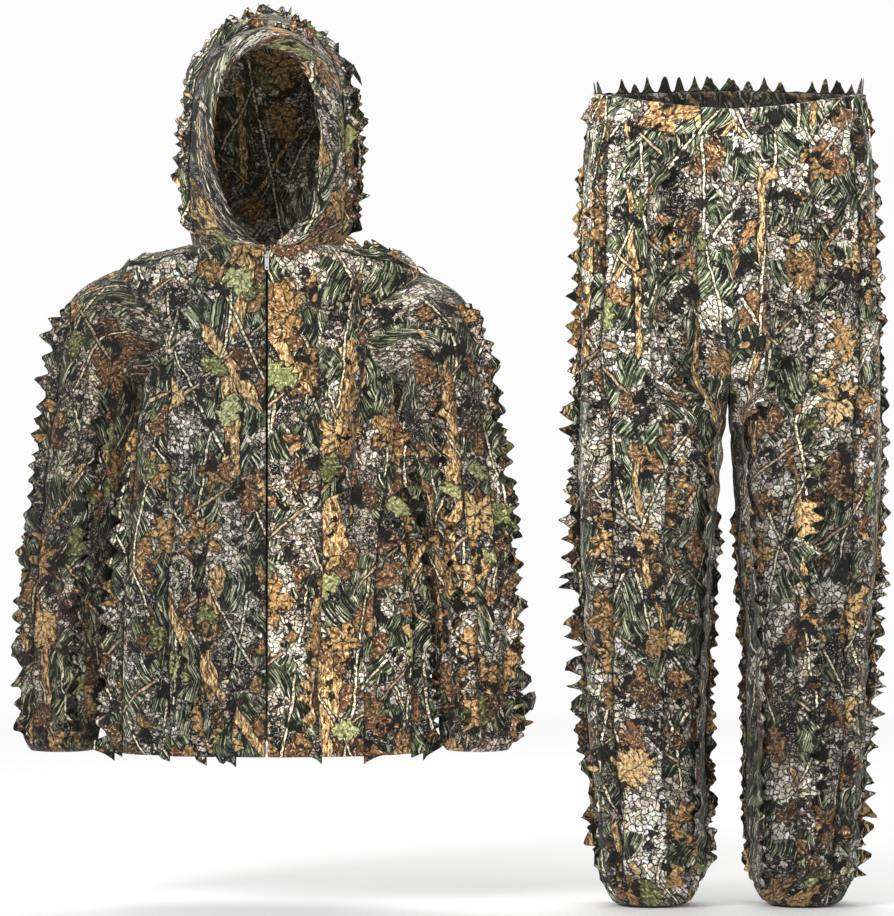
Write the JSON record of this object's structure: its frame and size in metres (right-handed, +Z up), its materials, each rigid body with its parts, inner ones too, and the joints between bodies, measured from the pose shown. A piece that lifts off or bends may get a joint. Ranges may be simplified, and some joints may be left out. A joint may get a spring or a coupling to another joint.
{
  "type": "ghillie suit",
  "caption": "Two-piece leafy camouflage suit: hooded front-zip jacket and elastic-waist trousers, with sewn strips of leaf-cut cloth.",
  "frame": {"origin": "centre of the bounding box in X and Y, at the level the trouser cuffs rest on", "axes": "+Z up as worn, -Y out of the garments' fronts, +X to the wearer's left"},
  "size_m": [1.169, 0.279, 1.1965],
  "materials": {
    "jacket_cloth": "matt knitted polyester with a woodland print",
    "trouser_cloth": "matt knitted polyester with a woodland print",
    "leaf_cloth": "matt knitted polyester with a woodland print, edges cut to leaf lobes",
    "hem_cloth": "matt knitted polyester, folded and stitched",
    "elastic": "ribbed woven elastic",
    "zip_tape": "woven tape",
    "nylon": "smooth",
    "zip_metal": "bright, slightly worn"
  },
  "bodies": {
    "jacket": {"front_panel_left": "jacket_cloth", "front_panel_right": "jacket_cloth", "back_panel": "jacket_cloth", "zip_tape_left": "zip_tape", "zip_coil_left": "nylon", "zip_top_stop_left": "zip_metal", "zip_tape_right": "zip_tape", "zip_coil_right": "nylon", "zip_top_stop_right": "zip_metal", "zip_retainer_box": "zip_metal", "zip_insertion_pin": "zip_metal", "hanger_loop": "elastic", "front_leaf_strip_left": "leaf_cloth", "back_leaf_strip_left": "leaf_cloth", "front_leaf_strip_right": "leaf_cloth", "back_leaf_strip_right": "leaf_cloth"},
    "hood": {"hood_panel_left": "jacket_cloth", "hood_panel_right": "jacket_cloth", "hood_face_band": "hem_cloth", "hood_elastic_cord": "elastic", "hood_leaf_strip": "leaf_cloth"},
    "sleeve_left": {"sleeve_upper_left": "jacket_cloth", "sleeve_leaf_strip_upper_left": "leaf_cloth"},
    "forearm_left": {"sleeve_forearm_left": "jacket_cloth", "cuff_casing_left": "hem_cloth", "cuff_elastic_left": "elastic", "sleeve_leaf_strip_forearm_left": "leaf_cloth"},
    "sleeve_right": {"sleeve_upper_right": "jacket_cloth", "sleeve_leaf_strip_upper_right": "leaf_cloth"},
    "forearm_right": {"sleeve_forearm_right": "jacket_cloth", "cuff_casing_right": "hem_cloth", "cuff_elastic_right": "elastic", "sleeve_leaf_strip_forearm_right": "leaf_cloth"},
    "trousers": {"trouser_front_left": "trouser_cloth", "trouser_back_left": "trouser_cloth", "trouser_front_right": "trouser_cloth", "trouser_back_right": "trouser_cloth", "waistband_casing": "hem_cloth", "waist_elastic": "elastic", "hip_leaf_strip_left": "leaf_cloth", "hip_leaf_strip_right": "leaf_cloth", "waist_leaf_strip": "leaf_cloth"},
    "thigh_left": {"thigh_left": "trouser_cloth", "thigh_leaf_strip_left": "leaf_cloth"},
    "thigh_right": {"thigh_right": "trouser_cloth", "thigh_leaf_strip_right": "leaf_cloth"},
    "shin_left": {"shin_left": "trouser_cloth", "ankle_casing_left": "hem_cloth", "ankle_elastic_left": "elastic", "shin_leaf_strip_left": "leaf_cloth"},
    "shin_right": {"shin_right": "trouser_cloth", "ankle_casing_right": "hem_cloth", "ankle_elastic_right": "elastic", "shin_leaf_strip_right": "leaf_cloth"},
    "zip_slider": {"zip_slider_body": "zip_metal"},
    "zip_pull": {"zip_pull_tab": "zip_metal"}
  },
  "joints": [
    {"name": "hood_tip_back", "type": "hinge", "parent": "jacket", "child": "hood", "pos_m": [-0.2415, 0.062, 0.8795], "axis": [-1, 0, 0], "range_deg": [0, 35]},
    {"name": "shoulder_swing_left", "type": "hinge", "parent": "jacket", "child": "sleeve_left", "pos_m": [-0.0515, 0, 0.765], "axis": [-1, 0, 0], "range_deg": [0, 70]},
    {"name": "elbow_fold_left", "type": "hinge", "parent": "sleeve_left", "child": "forearm_left", "pos_m": [0.013, -0.065, 0.52], "axis": [-1, 0, 0], "range_deg": [0, 80]},
    {"name": "shoulder_swing_right", "type": "hinge", "parent": "jacket", "child": "sleeve_right", "pos_m": [-0.4315, 0, 0.765], "axis": [-1, 0, 0], "range_deg": [0, 70]},
    {"name": "elbow_fold_right", "type": "hinge", "parent": "sleeve_right", "child": "forearm_right", "pos_m": [-0.496, -0.065, 0.52], "axis": [-1, 0, 0], "range_deg": [0, 80]},
    {"name": "trousers_aside", "type": "slide", "parent": "jacket", "child": "trousers", "axis": [1, 0, 0], "range_m": [0, 0.2]},
    {"name": "hip_swing_left", "type": "hinge", "parent": "trousers", "child": "thigh_left", "pos_m": [0.4695, -0.103, 0.6525], "axis": [-1, 0, 0], "range_deg": [0, 50]},
    {"name": "knee_fold_left", "type": "hinge", "parent": "thigh_left", "child": "shin_left", "pos_m": [0.474, 0.083, 0.356], "axis": [1, 0, 0], "range_deg": [0, 75]},
    {"name": "hip_swing_right", "type": "hinge", "parent": "trousers", "child": "thigh_right", "pos_m": [0.2655, -0.103, 0.6525], "axis": [-1, 0, 0], "range_deg": [0, 50]},
    {"name": "knee_fold_right", "type": "hinge", "parent": "thigh_right", "child": "shin_right", "pos_m": [0.261, 0.083, 0.356], "axis": [1, 0, 0], "range_deg": [0, 75]},
    {"name": "zip_slider_travel", "type": "slide", "parent": "jacket", "child": "zip_slider", "axis": [0, -0.0537, -0.9986], "range_m": [0, 0.63]},
    {"name": "zip_pull_swing", "type": "hinge", "parent": "zip_slider", "child": "zip_pull", "pos_m": [-0.2415, -0.09599, 0.86329], "axis": [-1, 0, 0], "range_deg": [0, 150]}
  ]
}
